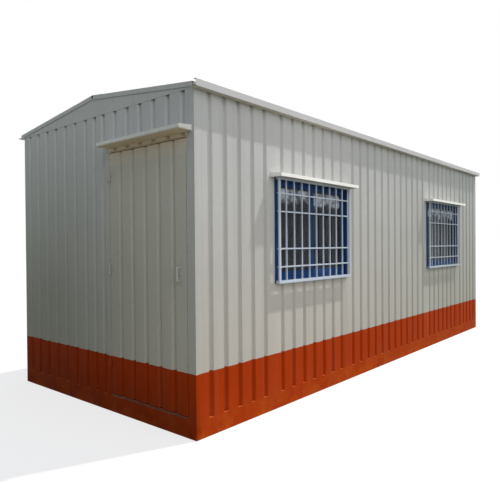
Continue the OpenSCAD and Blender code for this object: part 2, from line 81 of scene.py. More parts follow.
STARTUP_OBJECTS = ("Cube", "Light", "Camera")
WHITE: Colour = (1.0, 1.0, 1.0, 1.0)
NOISE_SPAN: Span = (0.3, 0.7)
PAINT_BUMP = 0.004
BOARD_BUMP = 0.002
WASHER_SIDES = 12
MERGE_DISTANCE = 0.00001
ROUND_FACES = 2
SMOOTH_BEND = math.radians(18.0)
FLAT_BEND = math.radians(0.5)
HARD_BEND = math.radians(30.0)
FOLD_BEND_MAX = math.radians(75.0)
FOLD_RUN = 0.95


class Body(str, Enum):
    """The bodies that a piece can ride on."""

    CABIN = "cabin"
    DOOR = "door"


class Slot(str, Enum):
    """The record's slots that the pieces made here use."""

    BASE = "base_paint"
    WALL = "wall_paint"
    TRIM = "trim_paint"
    ROOF = "roof_sheet"
    GUARD = "guard_paint"
    WINDOW = "window_paint"
    GLASS = "window_glass"
    STEEL = "hidden_steel"
    FITTING = "door_fittings"


class Side(str, Enum):
    """The two windows, as seen from in front."""

    LEFT = "left"
    RIGHT = "right"


class Axis(IntEnum):
    """The frame's axes: along the cabin, across it and up."""

    X = 0
    Y = 1
    Z = 2


def srgb(red: int, green: int, blue: int) -> Colour:
    """A screen colour as linear light.

    Args:
        red: Red channel, 0 to 255.
        green: Green channel, 0 to 255.
        blue: Blue channel, 0 to 255.

    Returns:
        The colour, with full alpha.
    """

    def linear(channel: int) -> float:
        """One channel as linear light."""
        share = channel / 255
        return share / 12.92 if share <= 0.04045 else ((share + 0.055) / 1.055) ** 2.4

    return linear(red), linear(green), linear(blue), 1.0


# Node trees


def labelled(sizes: object, leave_out: Sequence[str] = ()) -> dict[str, object]:
    """A dataclass's values under the labels that a node group's inputs have.

    Args:
        sizes: The dataclass.
        leave_out: Fields that the group doesn't take.

    Returns:
        Input label to value.
    """
    names = [part.name for part in fields(sizes) if part.name not in leave_out]
    return {name.replace("_", " ").title(): getattr(sizes, name) for name in names}


class Sketch:
    """Adds nodes to one tree and wires them by socket."""

    def __init__(self, tree: bpy.types.NodeTree) -> None:
        """Starts from an empty tree."""
        self.tree = tree
        tree.nodes.clear()

    def feed(self, node: bpy.types.Node, inputs: dict) -> None:
        """Sets or links a node's inputs.

        Args:
            node: A node of this tree.
            inputs: Socket name or number to a value or to the socket that feeds it.
        """
        for key, value in inputs.items():
            if isinstance(value, Socket):
                self.tree.links.new(value, node.inputs[key])
            else:
                node.inputs[key].default_value = value

    def put(self, kind: str, inputs: dict | None = None, **settings: object) -> bpy.types.Node:
        """Adds one node.

        Args:
            kind: The node's type name.
            inputs: Socket name or number to a value or to the socket that feeds it.
            settings: The node's own options.

        Returns:
            The new node.
        """
        node = self.tree.nodes.new(kind)
        for option, value in settings.items():
            setattr(node, option, value)
        self.feed(node, inputs or {})
        return node

    def place(self) -> Socket:
        """The surface's own coordinates."""
        return self.put("ShaderNodeTexCoord").outputs["Object"]

    def parts(self, vector: Socket) -> tuple[Socket, ...]:
        """A vector's parts along the three axes."""
        return tuple(self.put("ShaderNodeSeparateXYZ", {"Vector": vector}).outputs)

    def math(self, operation: str, *values: object, clamp: bool = False) -> Socket:
        """One Math node's result."""
        inputs = dict(enumerate(values))
        return self.put("ShaderNodeMath", inputs, operation=operation, use_clamp=clamp).outputs[0]

    def ramp(
        self, value: Socket, low: object, high: float, start: float = 0.0, end: float = 1.0
    ) -> Socket:
        """A value carried from one range to another, and held at its ends."""
        inputs = {"Value": value, "From Min": low, "From Max": high, "To Min": start, "To Max": end}
        return self.put("ShaderNodeMapRange", inputs, clamp=True).outputs["Result"]

    def fade(self, value: Socket, low: float, high: float) -> Socket:
        """One below a range, falling to zero above it."""
        return self.ramp(value, low, high, start=1.0, end=0.0)

    def mix(self, factor: object, first: object, second: object, blend: str = "MIX") -> Socket:
        """Two colours mixed by a factor."""
        inputs = {0: factor, 6: first, 7: second}
        return self.put("ShaderNodeMix", inputs, data_type="RGBA", blend_type=blend).outputs[2]

    def tinted(self, colour: object, tint: object, factor: object = 1.0) -> Socket:
        """A colour multiplied by another, as far as a factor says."""
        return self.mix(factor, colour, tint, "MULTIPLY")

    def noise(
        self, vector: Socket, scale: float, detail: float = 3.0, roughness: float = 0.55
    ) -> Socket:
        """A noise value round one half."""
        inputs = {"Vector": vector, "Scale": scale, "Detail": detail, "Roughness": roughness}
        return self.put("ShaderNodeTexNoise", inputs).outputs["Fac"]

    def blotches(
        self, vector: Socket, scale: float, low: float, high: float,
        detail: float = 3.0, roughness: float = 0.55,
    ) -> Socket:
        """A noise carried to a range."""
        return self.ramp(self.noise(vector, scale, detail, roughness), *NOISE_SPAN, low, high)

    def grey(self, value: Socket) -> Socket:
        """A value as a grey colour."""
        return self.put("ShaderNodeCombineColor", {0: value, 1: value, 2: value}).outputs[0]

    def times(self, *values: object) -> Socket:
        """Several values multiplied together.

        Args:
            values: Sockets and numbers, a socket first.

        Returns:
            Their product.
        """
        product = values[0]
        for value in values[1:]:
            product = self.math("MULTIPLY", product, value)
        return product

    def stretched(self, vector: Socket, scale: Sequence[float]) -> Socket:
        """Coordinates stretched along each axis."""
        return self.put("ShaderNodeMapping", {"Vector": vector, "Scale": scale}).outputs["Vector"]


@dataclass
class WeatherAndPaintedLight:
    """Painted steel outdoors: a second colour at the foot, runs, dust and worn edges, and painted light
    and shade: shade on the door end and towards the front's far end, light and shade under the canopy and
    by which way a face looks, and a warm tint low down that is partly painted light.

    A span is where one of its masks starts and ends: a place in the cabin's frame, in metres, or for
    the two facing spans how far a face looks up, from -1 to 1.
    """

    sketch: Sketch
    given: dict[str, Socket]
    end_skin: Span = (3.017, 3.023)
    side_skin: Span = (1.187, 1.193)
    band_blur: float = 0.0015
    band_wander: float = 0.003
    film_height: Span = (0.5, 2.2)
    door_end: Span = (-3.042, -3.0)
    shade_across: Span = (-1.2, 0.6)
    shade_height: Span = (0.9, 2.45)
    front_side: Span = (-1.1, -1.0)
    far_along: Span = (-2.0, 3.0)
    foot_height: Span = (0.0, 0.4)
    dust_height: Span = (0.02, 0.30)
    dust_along: Span = (-3.06, -3.04)
    facing_up: Span = (0.5, 0.9)
    facing_down: Span = (-0.5, -0.9)
    settled_share: float = 0.45
    door_middle: float = -0.684
    door_half: Span = (0.455, 0.47)
    canopy_wall: Span = (-3.03, -3.02)
    canopy_sheet: Span = (-3.058, -3.054)
    canopy_foot: float = 2.088
    canopy_head: Span = (2.121, 2.126)
    run_stretch: Point = (21.0, 21.0, 0.55)
    buckle_stretch: Point = (3.0, 3.0, 1.6)
    buckle_height: float = 0.9
    peel_height: float = 0.012
    chip_depth: float = 0.05
    dusty_rough: float = 0.3

    def __post_init__(self) -> None:
        """Reads the surface's place and the way that it faces."""
        sketch = self.sketch
        self.place = sketch.place()
        self.along, self.across, self.height = sketch.parts(self.place)
        self.upward = sketch.parts(sketch.put("ShaderNodeNewGeometry").outputs["Normal"])[Axis.Z]
        wander = sketch.blotches(self.place, scale=9.0, low=-self.band_wander, high=self.band_wander)
        self.uneven = sketch.math("ADD", self.height, wander)
        self.end = sketch.fade(self.along, *self.door_end)

    def draw(self) -> dict[str, Socket]:
        """Lays the layers over each other.

        Returns:
            The group's outputs, by name.
        """
        sketch, given = self.sketch, self.given
        band, dust, wear = self.band(), self.dust(), self.wear()
        plain = sketch.math("SUBTRACT", 1.0, band)
        colour = sketch.mix(band, given["Upper"], given["Band"])
        colour = sketch.tinted(colour, self.mottle())
        # A warm tint over the plain paint that fades out upwards: partly dust, partly painted warm light
        # from below.
        film = sketch.times(sketch.fade(self.height, *self.film_height), plain, given["Film"])
        colour = sketch.mix(film, colour, given["Film Colour"])
        # Painted shade: the door end darker towards its back and foot, the front darker towards its far
        # end, and the door end's band darker still at its foot.
        for damp in (self.damp(plain), self.foot(band)):
            colour = sketch.tinted(colour, given["Damp Colour"], damp)
        colour = sketch.mix(self.dirt(), colour, given["Dirt Colour"])
        colour = sketch.mix(dust, colour, given["Dust Colour"])
        # Dust on faces that look up, partly painted light and shade: lighter on the small faces at the
        # groove feet, darker on pale tops.
        top_dust_light = sketch.mix(self.settled_share, given["Settled Colour"], colour)
        colour = sketch.mix(self.ledge(), colour, top_dust_light)
        # Painted light and shade under the canopy: lighter and warmer over the door, darker at the
        # canopy's foot.
        colour = sketch.mix(self.sheltered(), colour, given["Sheltered Colour"])
        # Painted shade on faces that look down, in a warm colour for light thrown up from below.
        under = sketch.times(sketch.ramp(self.upward, *self.facing_down), given["Underside"])
        colour = sketch.mix(under, colour, given["Underside Colour"])
        colour = sketch.mix(wear, colour, given["Bare Colour"])
        return {"Color": colour, "Roughness": self.rough(dust), "Height": self.relief(wear)}

    def band(self) -> Socket:
        """One on the outside of the steel below the band's uneven top.

        Returns:
            The mask.
        """
        sketch = self.sketch
        over = sketch.math("SUBTRACT", self.uneven, self.given["Band Top"])
        past_end = sketch.ramp(sketch.math("ABSOLUTE", self.along), *self.end_skin)
        past_side = sketch.ramp(sketch.math("ABSOLUTE", self.across), *self.side_skin)
        outdoors = sketch.math("MAXIMUM", past_end, past_side)
        return sketch.times(sketch.fade(over, -self.band_blur, self.band_blur), outdoors)

    def mottle(self) -> Socket:
        """Faint clouds in the paint, as a grey near white.

        Returns:
            The grey.
        """
        sketch = self.sketch
        tone = sketch.blotches(self.place, scale=1.1, low=0.95, high=1.04, detail=2.0)
        fine = sketch.blotches(self.place, scale=17.0, low=0.975, high=1.02, detail=4.0, roughness=0.6)
        return sketch.grey(sketch.times(tone, fine))

    def damp(self, plain: Socket) -> Socket:
        """Painted shade on the door end, towards its back and foot, and on the front, towards the far
        end.

        Args:
            plain: One where the band's colour is not.

        Returns:
            The mask.
        """
        sketch = self.sketch
        across = sketch.ramp(self.across, *self.shade_across, start=0.05)
        shaded = sketch.times(self.end, across, sketch.fade(self.height, *self.shade_height))
        front = sketch.fade(self.across, *self.front_side)
        far = sketch.times(sketch.ramp(self.along, *self.far_along, end=0.45), front, plain)
        patchy = sketch.blotches(self.place, scale=2.2, low=0.86, high=1.0)
        return sketch.times(sketch.math("ADD", shaded, far), patchy, self.given["Damp"])

    def foot(self, band: Socket) -> Socket:
        """Painted shade that grows towards the foot of the door end's band."""
        low = self.sketch.ramp(self.height, *self.foot_height, start=1.0, end=0.1)
        return self.sketch.times(self.end, band, low, self.given["Damp"])

    def dirt(self) -> Socket:
        """Thin runs down the sheet, and specks.

        Returns:
            The mask.
        """
        sketch = self.sketch
        drawn_out = sketch.stretched(self.place, self.run_stretch)
        runs = sketch.noise(drawn_out, scale=1.0, detail=4.0, roughness=0.62)
        specks = sketch.noise(self.place, scale=60.0, detail=4.0, roughness=0.7)
        either = sketch.math(
            "MAXIMUM", sketch.ramp(runs, low=0.52, high=0.74), sketch.ramp(specks, low=0.66, high=0.74),
        )
        return sketch.times(either, self.given["Streaks"])

    def dust(self) -> Socket:
        """Dust splashed up from below, little of it on the door end.

        Returns:
            The mask.
        """
        sketch = self.sketch
        low = sketch.fade(self.height, *self.dust_height)
        clouds = sketch.noise(self.place, scale=7.0, detail=5.0, roughness=0.65)
        thick = sketch.ramp(clouds, low=0.36, high=0.68)
        sides = sketch.ramp(self.along, *self.dust_along, start=0.1)
        return sketch.times(low, thick, sides, self.given["Dust"])

    def ledge(self) -> Socket:
        """Dust on faces that look up, partly painted light and shade: lighter on the small faces at the
        groove feet, darker on pale tops.

        Returns:
            The mask.
        """
        flat = self.sketch.ramp(self.upward, *self.facing_up)
        top_dust_light = self.sketch.blotches(self.place, scale=12.0, low=0.7, high=1.0)
        return self.sketch.times(flat, top_dust_light, self.given["Ledge"])

    def sheltered(self) -> Socket:
        """The strip of painted light and shade under the canopy: the wall over the door, and the canopy's
        own foot.

        Returns:
            The mask.
        """
        sketch = self.sketch
        aside = sketch.math("ABSOLUTE", sketch.math("SUBTRACT", self.across, self.door_middle))
        over_door = sketch.fade(aside, *self.door_half)
        canopy = sketch.fade(self.along, *self.canopy_sheet)
        return sketch.times(
            sketch.fade(self.along, *self.canopy_wall),
            sketch.math("MAXIMUM", over_door, canopy),
            sketch.ramp(self.uneven, self.given["Sheltered Foot"], self.canopy_foot),
            sketch.fade(self.uneven, *self.canopy_head),
            self.given["Sheltered"],
        )

    def wear(self) -> Socket:
        """Chips in the paint of rounded edges.

        Returns:
            The mask.
        """
        sketch = self.sketch
        edge = sketch.put("ShaderNodeAttribute", attribute_name="edge").outputs["Fac"]
        flakes = sketch.noise(self.place, scale=34.0, detail=5.0, roughness=0.68)
        return sketch.times(edge, sketch.ramp(flakes, low=0.55, high=0.60), self.given["Wear"])

    def rough(self, dust: Socket) -> Socket:
        """Roughness, uneven and higher under dust.

        Args:
            dust: The dust's mask.

        Returns:
            The roughness.
        """
        grain = self.sketch.blotches(self.place, scale=4.0, low=-0.06, high=0.07)
        rough = self.sketch.math("ADD", self.given["Rough"], grain)
        return self.sketch.math("ADD", rough, self.sketch.times(dust, self.dusty_rough), clamp=True)

    def relief(self, wear: Socket) -> Socket:
        """Height of the sheet's slight buckles, the paint's fine grain and its chips.

        Args:
            wear: The chips' mask.

        Returns:
            The height.
        """
        sketch = self.sketch
        drawn_out = sketch.stretched(self.place, self.buckle_stretch)
        buckles = sketch.times(sketch.noise(drawn_out, scale=1.0, detail=1.0), self.buckle_height)
        peel = sketch.times(sketch.noise(self.place, scale=420.0, detail=1.0), self.peel_height)
        chips = sketch.times(wear, self.chip_depth)
        return sketch.math("SUBTRACT", sketch.math("ADD", buckles, peel), chips)


def paint_group() -> bpy.types.NodeTree:
    """The shader group that every painted steel surface uses.

    Returns:
        The group's tree, built at the first call.
    """
    name = "Weathered paint"
    if name in bpy.data.node_groups:
        return bpy.data.node_groups[name]
    tree = bpy.data.node_groups.new(name, "ShaderNodeTree")
    sketch = Sketch(tree)
    colour, value = "NodeSocketColor", "NodeSocketFloat"
    usual = Paint("usual paint", WHITE).weathering()
    for label, setting in usual.items():
        kind = colour if isinstance(setting, tuple) else value
        tree.interface.new_socket(label, in_out="INPUT", socket_type=kind).default_value = setting
    for label, kind in {"Color": colour, "Roughness": value, "Height": value}.items():
        tree.interface.new_socket(label, in_out="OUTPUT", socket_type=kind)
    entry = sketch.put("NodeGroupInput").outputs
    sketch.put("NodeGroupOutput", WeatherAndPaintedLight(sketch, {label: entry[label] for label in usual}).draw())
    return tree


def fixing_tree() -> bpy.types.NodeTree:
    """The Geometry Nodes tree that sets a washer and a head on every marked point.

    Returns:
        The tree, built at the first call.
    """
    name = "Set out fixings"
    if name in bpy.data.node_groups:
        return bpy.data.node_groups[name]
    tree = bpy.data.node_groups.new(name, "GeometryNodeTree")
    sketch = Sketch(tree)
    kinds = {
        "Geometry": "NodeSocketGeometry",
        "Head Radius": "NodeSocketFloat",
        "Head Top": "NodeSocketFloat",
        "Head Height": "NodeSocketFloat",
        "Washer Radius": "NodeSocketFloat",
        "Washer Height": "NodeSocketFloat",
        "Sides": "NodeSocketInt",
        "Seed": "NodeSocketInt",
        "Finish": "NodeSocketMaterial",
    }
    for label, kind in kinds.items():
        tree.interface.new_socket(label, in_out="INPUT", socket_type=kind)
    tree.interface.new_socket("Geometry", in_out="OUTPUT", socket_type="NodeSocketGeometry")
    given = sketch.put("NodeGroupInput").outputs
    washer = sketch.put("GeometryNodeMeshCone", {
        "Vertices": WASHER_SIDES, "Radius Top": given["Head Radius"],
        "Radius Bottom": given["Washer Radius"], "Depth": given["Washer Height"],
    })
    head = sketch.put("GeometryNodeMeshCone", {
        "Vertices": given["Sides"], "Radius Top": given["Head Top"],
        "Radius Bottom": given["Head Radius"], "Depth": given["Head Height"],
    })
    lift = sketch.put("ShaderNodeCombineXYZ", {"Z": sketch.times(given["Washer Height"], 0.5)})
    raised = sketch.put("GeometryNodeTransform", {
        "Geometry": head.outputs["Mesh"], "Translation": lift.outputs[0],
    })
    both = sketch.put("GeometryNodeJoinGeometry")
    tree.links.new(washer.outputs["Mesh"], both.inputs[0])
    tree.links.new(raised.outputs[0], both.inputs[0])
    facing = sketch.put("GeometryNodeInputNamedAttribute", {"Name": "facing"}, data_type="FLOAT_VECTOR")
    aligned = sketch.put("FunctionNodeAlignRotationToVector", {"Vector": facing.outputs[0]}, axis="Z")
    twist = sketch.put("FunctionNodeRandomValue", {
        0: (0.0, 0.0, 0.0), 1: (0.0, 0.0, math.tau), "Seed": given["Seed"],
    }, data_type="FLOAT_VECTOR")
    turn = sketch.put("FunctionNodeEulerToRotation", {0: twist.outputs[0]})
    turned = sketch.put("FunctionNodeRotateRotation", {
        "Rotation": aligned.outputs[0], "Rotate By": turn.outputs[0],
    }, rotation_space="LOCAL")
    placed = sketch.put("GeometryNodeInstanceOnPoints", {
        "Points": given["Geometry"], "Instance": both.outputs[0], "Rotation": turned.outputs[0],
    })
    real = sketch.put("GeometryNodeRealizeInstances", {"Geometry": placed.outputs[0]})
    coated = sketch.put("GeometryNodeSetMaterial", {
        "Geometry": real.outputs[0], "Material": given["Finish"],
    })
    sketch.put("NodeGroupOutput", {"Geometry": coated.outputs[0]})
    return tree


# Finishes


@dataclass(frozen=True)
class Finish:
    """A surface finish, with a material of its own."""

    name: str

    def material(self) -> bpy.types.Material:
        """The finish as a material.

        Returns:
            The material, made at the first call.
        """
        if self.name in bpy.data.materials:
            return bpy.data.materials[self.name]
        material = bpy.data.materials.new(self.name)
        material.use_nodes = True
        sketch = Sketch(material.node_tree)
        surface = sketch.put("ShaderNodeBsdfPrincipled")
        sketch.put("ShaderNodeOutputMaterial", {"Surface": surface.outputs[0]})
        sketch.feed(surface, self.draw(sketch))
        return material

    def draw(self, sketch: Sketch) -> dict:
        """Draws the finish, and gives its surface's inputs by name."""
        raise NotImplementedError


@dataclass(frozen=True)
class Paint(Finish):
    """Painted steel, weathered, with painted light and shade."""

    upper: Colour
    band: Colour = srgb(160, 53, 9)
    band_top: float = -1.0
    streaks: float = 0.1
    dirt_colour: Colour = srgb(120, 112, 98)
    dust: float = 0.2
    dust_colour: Colour = srgb(168, 112, 70)
    # A warm tint low down: partly dust, partly painted warm light from below.
    film: float = 0.0
    film_colour: Colour = srgb(168, 158, 136)
    # Painted shade on the door end and towards the front's far end, and the colour that multiplies it in.
    damp: float = 0.0
    damp_colour: Colour = (0.58, 0.61, 0.56, 1.0)
    # Dust on faces that look up, partly painted light and shade, and its colour.
    ledge: float = 0.3
    settled_colour: Colour = srgb(186, 172, 154)
    # Painted shade on faces that look down, and its colour.
    underside: float = 0.0
    underside_colour: Colour = srgb(196, 168, 128)
    # Painted light and shade under the canopy: where it starts, and its colour.
    sheltered: float = 0.0
    sheltered_foot: float = 2.082
    sheltered_colour: Colour = srgb(240, 214, 198)
    wear: float = 0.0
    bare_colour: Colour = srgb(92, 62, 46)
    rough: float = 0.6
    gloss: float = 0.03
    relief: float = 0.25

    def weathering(self) -> dict[str, object]:
        """The settings that the paint's shader group takes, by input label."""
        return labelled(self, leave_out=("name", "gloss", "relief"))

    def draw(self, sketch: Sketch) -> dict:
        """Draws the paint.

        Args:
            sketch: The material's tree.

        Returns:
            Its surface's inputs, by name.
        """
        weather_and_light = sketch.put("ShaderNodeGroup", self.weathering(), node_tree=paint_group()).outputs
        bump = sketch.put("ShaderNodeBump", {
            "Height": weather_and_light["Height"], "Distance": PAINT_BUMP, "Strength": self.relief,
        })
        return {
            "Base Color": weather_and_light["Color"],
            "Roughness": weather_and_light["Roughness"],
            "Normal": bump.outputs[0],
            "Specular IOR Level": self.gloss,
        }


@dataclass(frozen=True)
class Rubber(Finish):
    """Dull black rubber: the sealing strips, and the keyhole's painted shade."""

    face: Colour
    chalk: Span = (0.8, 1.6)

    def draw(self, sketch: Sketch) -> dict:
        """Draws the rubber.

        Args:
            sketch: The material's tree.

        Returns:
            Its surface's inputs, by name.
        """
        patches = sketch.noise(sketch.place(), scale=25.0, detail=4.0)
        chalk = sketch.ramp(patches, 0.3, 0.75, *self.chalk)
        return {
            "Base Color": sketch.tinted(self.face, sketch.grey(chalk)),
            "Roughness": sketch.ramp(chalk, *self.chalk, start=0.55, end=0.8),
            "Specular IOR Level": 0.2,
        }


@dataclass(frozen=True)
class PaintedReflection(Finish):
    """Painted reflection: pale patches on the upper part of a pane, and a faint pale veil over the whole
    of it.
    """

    face: Colour
    foot: Span
    head: Span
    cover: float
    ragged: float = 0.04
    thickness: Span = (0.4, 1.0)

    def draw(self, sketch: Sketch) -> dict:
        """Draws the painted reflection.

        Args:
            sketch: The material's tree.

        Returns:
            Its surface's inputs, by name.
        """
        place = sketch.place()
        height = sketch.parts(place)[Axis.Z]
        ragged = sketch.blotches(
            place, scale=5.0, low=-self.ragged, high=self.ragged, detail=4.0, roughness=0.6,
        )
        level = sketch.math("ADD", height, ragged)
        lower = sketch.ramp(level, *self.foot)
        upper = sketch.fade(height, *self.head)
        blots = sketch.ramp(sketch.noise(place, scale=13.0), 0.36, 0.56, *self.thickness)
        faint_noise = sketch.noise(place, scale=30.0, detail=5.0, roughness=0.7)
        thin = sketch.ramp(faint_noise, low=0.35, high=0.75, start=0.02, end=0.11)
        tone = sketch.ramp(blots, *self.thickness, start=0.82, end=1.05)
        return {
            "Base Color": sketch.tinted(self.face, sketch.grey(tone)),
            "Roughness": sketch.ramp(blots, *self.thickness, start=0.7, end=0.9),
            "Alpha": sketch.math("MAXIMUM", sketch.times(lower, upper, blots, self.cover), thin),
            "Specular IOR Level": 0.1,
        }


@dataclass(frozen=True)
class Glazing(Finish):
    """Tinted float glass."""

    tint: Colour
    index: float = 1.15

    def draw(self, sketch: Sketch) -> dict:
        """Draws the glass.

        Args:
            sketch: The material's tree.

        Returns:
            Its surface's inputs, by name.
        """
        smears = sketch.noise(sketch.place(), scale=6.0, detail=4.0)
        return {
            "Base Color": self.tint,
            "Roughness": sketch.ramp(smears, low=0.35, high=0.7, start=0.02, end=0.09),
            "Transmission Weight": 1.0,
            "IOR": self.index,
        }


@dataclass(frozen=True)
class Board(Finish):
    """A lined or boarded surface with joints at a regular width along the cabin."""

    face: Colour
    joint: Colour
    grain: float
    width: float = 1.22
    joint_blur: Span = (0.004, 0.006)
    fibre: Point = (2.0, 14.0, 14.0)

    def draw(self, sketch: Sketch) -> dict:
        """Draws the board.

        Args:
            sketch: The material's tree.

        Returns:
            Its surface's inputs, by name.
        """
        place = sketch.place()
        step = sketch.math("FRACT", sketch.math("DIVIDE", sketch.parts(place)[Axis.X], self.width))
        aside = sketch.math("ABSOLUTE", sketch.math("SUBTRACT", step, 0.5))
        seam = sketch.fade(aside, *(half / self.width for half in self.joint_blur))
        drawn_out = sketch.stretched(place, self.fibre)
        fibre = sketch.noise(drawn_out, scale=3.0, detail=5.0, roughness=0.6)
        worn = sketch.ramp(fibre, *NOISE_SPAN, start=1.0 - self.grain, end=1.0 + self.grain)
        face = sketch.tinted(self.face, sketch.grey(worn))
        drop = sketch.math("SUBTRACT", sketch.times(fibre, 0.1), seam)
        bump = sketch.put("ShaderNodeBump", {"Height": drop, "Distance": BOARD_BUMP, "Strength": 0.4})
        return {
            "Base Color": sketch.mix(seam, face, self.joint),
            "Roughness": sketch.ramp(fibre, *NOISE_SPAN, start=0.45, end=0.65),
            "Normal": bump.outputs[0],
        }


BAND_TOP = 0.453
# Wall paint: painted shade on the door end and towards the front's far end, painted light over the door
# and on faces that look up, and a warm tint low down that is partly painted light.
WALL_PAINT = Paint(
    "wall paint", srgb(190, 190, 189), band_top=BAND_TOP,
    dust=0.1, film=0.45, damp=1.0, ledge=0.8, sheltered=0.9,
)
# Door paint: painted shade on the door end, and painted warm light on the door's top, under the canopy.
DOOR_PAINT = Paint(
    "door paint", srgb(193, 189, 180), band_top=BAND_TOP, dust=0.1, film=0.3, damp=1.0, wear=0.4,
    sheltered=0.85, sheltered_foot=1.955, sheltered_colour=srgb(226, 208, 192),
)
# Base paint: painted shade on the door end; its orange on faces that look up is partly dust, partly a
# painted highlight.
BASE_PAINT = Paint(
    "base paint", srgb(190, 190, 189), band=srgb(155, 51, 8), band_top=BAND_TOP,
    dust=0.4, dust_colour=srgb(200, 98, 30), damp=1.0, ledge=0.8,
    settled_colour=srgb(226, 112, 62), wear=0.4,
)
# Trim paint: painted shade on faces that look down.
TRIM_PAINT = Paint("trim paint", srgb(196, 195, 194), underside=0.15, gloss=0.1)
# Canopy paint: painted shade on faces that look down and at its foot.
CANOPY_PAINT = Paint(
    "canopy paint", srgb(216, 216, 213), underside=1.0, gloss=0.1,
    sheltered=0.8, sheltered_colour=srgb(176, 160, 138),
)
# The soffit's warm colour is painted warm light under the canopy.
SOFFIT_PAINTED_LIGHT = Paint("soffit paint", srgb(228, 209, 190), streaks=0.3)
# The door head's lighter, warmer colour is painted warm light under the canopy; its runs are dirt.
HEAD_PAINTED_LIGHT = Paint("stained paint", srgb(214, 192, 172), streaks=0.3)
ROOF_PAINT = Paint("roof paint", srgb(170, 170, 166), streaks=0.3, rough=0.5, gloss=0.14)
# Guard paint: painted shade, darker towards the far end.
GUARD_PAINT = Paint(
    "guard paint", srgb(184, 193, 206), streaks=0.06, damp=2.0, gloss=0.12, wear=0.3, rough=0.45,
)
# Sunshade paint: its top darkened by dust and painted shade, and painted shade on faces that look down.
SHADE_PAINT = Paint(
    "shade paint", srgb(244, 242, 237), streaks=0.05, ledge=1.0, underside=0.15, gloss=0.1, rough=0.45,
)
WINDOW_PAINT = Paint("window paint", srgb(28, 63, 114), streaks=0.05, gloss=0.06, rough=0.5)
# Fitting paint: painted shade on the door end.
FITTING_PAINT = Paint(
    "fitting paint", srgb(184, 181, 173), band_top=BAND_TOP, damp=1.0, wear=0.6, gloss=0.08,
)
FIXING_PAINT = Paint("fixing paint", srgb(160, 158, 152), streaks=0.3, gloss=0.14, rough=0.42)
STEEL_PRIMER = Paint("steel primer", srgb(110, 62, 48), streaks=0.3)
GASKET = Rubber("gasket rubber", srgb(30, 30, 32))
# The keyhole is a near-black plug: painted shade for the key's slot.
KEYHOLE_SHADOW = Rubber("keyhole shadow", srgb(12, 12, 12))
# Pale patches on the panes' upper part, and a faint veil over them: painted reflection.
PAINTED_REFLECTION = PaintedReflection("glass film", srgb(192, 199, 212), foot=(1.675, 1.715), head=(1.79, 1.815), cover=0.95)
GLASS = Glazing("window glass", (0.11, 0.145, 0.20, 1.0))
LINING = Board("wall lining", srgb(205, 201, 190), joint=srgb(150, 146, 138), grain=0.03)
FLOOR_BOARD = Board("floor board", srgb(126, 96, 66), joint=srgb(52, 38, 26), grain=0.14)


# Meshes


def ring(mesh: bmesh.types.BMesh, row: Sequence, following: Sequence) -> None:
    """Faces all the way round between two rows of corners.

    Args:
        mesh: The mesh that holds the corners.
        row: One row's corners, in order.
        following: The next row's corners, in the same order.
    """
    for corner in range(len(row)):
        after = (corner + 1) % len(row)
        mesh.faces.new((row[corner], row[after], following[after], following[corner]))


def block(mesh: bmesh.types.BMesh, *outlines: Sequence[Point]) -> None:
    """A closed block between two outlines.

    Args:
        mesh: The mesh that it joins.
        outlines: The points of both outlines, in the same order round.
    """
    rows = [[mesh.verts.new(point) for point in outline] for outline in outlines]
    for row in rows:
        mesh.faces.new(row)
    ring(mesh, *rows)


def bend(edge: bmesh.types.BMEdge) -> float:
    """The angle between an edge's two faces, or zero where it has fewer."""
    return edge.calc_face_angle() if len(edge.link_faces) == 2 else 0.0


def bevel(mesh: bmesh.types.BMesh, edges: list, radius: float, clamp: bool) -> dict:
    """Rounds some edges.

    Args:
        mesh: The mesh that holds them.
        edges: The edges.
        radius: Width of the rounding, in metres.
        clamp: Whether the rounding stops where it would meet another.

    Returns:
        What was made, with the new faces under "faces".
    """
    return bmesh.ops.bevel(
        mesh, geom=edges, offset=radius, segments=ROUND_FACES, profile=0.5,
        affect="EDGES", clamp_overlap=clamp,
    )


@dataclass(frozen=True)
class Fixing:
    """One kind of small fixing, which Geometry Nodes set out on marked points."""

    head_radius: float
    head_top: float
    head_height: float
    washer_radius: float
    washer_height: float
    sides: int
    seed: int = 11

    def set_out(self, name: str, marks: Sequence[Mark], finish: Finish) -> bpy.types.Object:
        """Makes one plain mesh with a fixing at every mark.

        Args:
            name: The new piece's name.
            marks: A point and the direction that the fixing faces, for each.
            finish: The fixings' finish.

        Returns:
            The new piece.
        """
        data = bpy.data.meshes.new(name)
        data.from_pydata([point for point, facing in marks], [], [])
        facings = data.attributes.new("facing", "FLOAT_VECTOR", "POINT")
        facings.data.foreach_set("vector", [part for point, facing in marks for part in facing])
        piece = bpy.data.objects.new(name, data)
        bpy.context.scene.collection.objects.link(piece)
        tree = fixing_tree()
        settings = {**labelled(self), "Finish": finish.material()}
        modifier = piece.modifiers.new("fixings", "NODES")
        modifier.node_group = tree
        for socket in tree.interface.items_tree:
            if socket.in_out == "INPUT" and socket.name in settings:
                modifier[socket.identifier] = settings[socket.name]
        evaluated = piece.evaluated_get(bpy.context.evaluated_depsgraph_get())
        solid = bpy.data.meshes.new_from_object(evaluated)
        piece.modifiers.remove(modifier)
        piece.data = solid
        return piece


ROOF_SCREW = Fixing(
    head_radius=0.0055, head_top=0.005, head_height=0.005,
    washer_radius=0.009, washer_height=0.0015, sides=6,
)
TRIM_RIVET = Fixing(
    head_radius=0.0038, head_top=0.0022, head_height=0.0018,
    washer_radius=0.0048, washer_height=0.0008, sides=10,
)
FLAP_SCREW = Fixing(
    head_radius=0.0034, head_top=0.0026, head_height=0.0014,
    washer_radius=0.0038, washer_height=0.0005, sides=10,
)
WELD_BEAD = Fixing(
    head_radius=0.0042, head_top=0.002, head_height=0.0024,
    washer_radius=0.0052, washer_height=0.0012, sides=7,
)


@dataclass(frozen=True)
class Dress:
    """A finish, with the record's slot for it and the body that it rides on."""

    finish: Finish
    slot: Slot
    body: Body = Body.CABIN


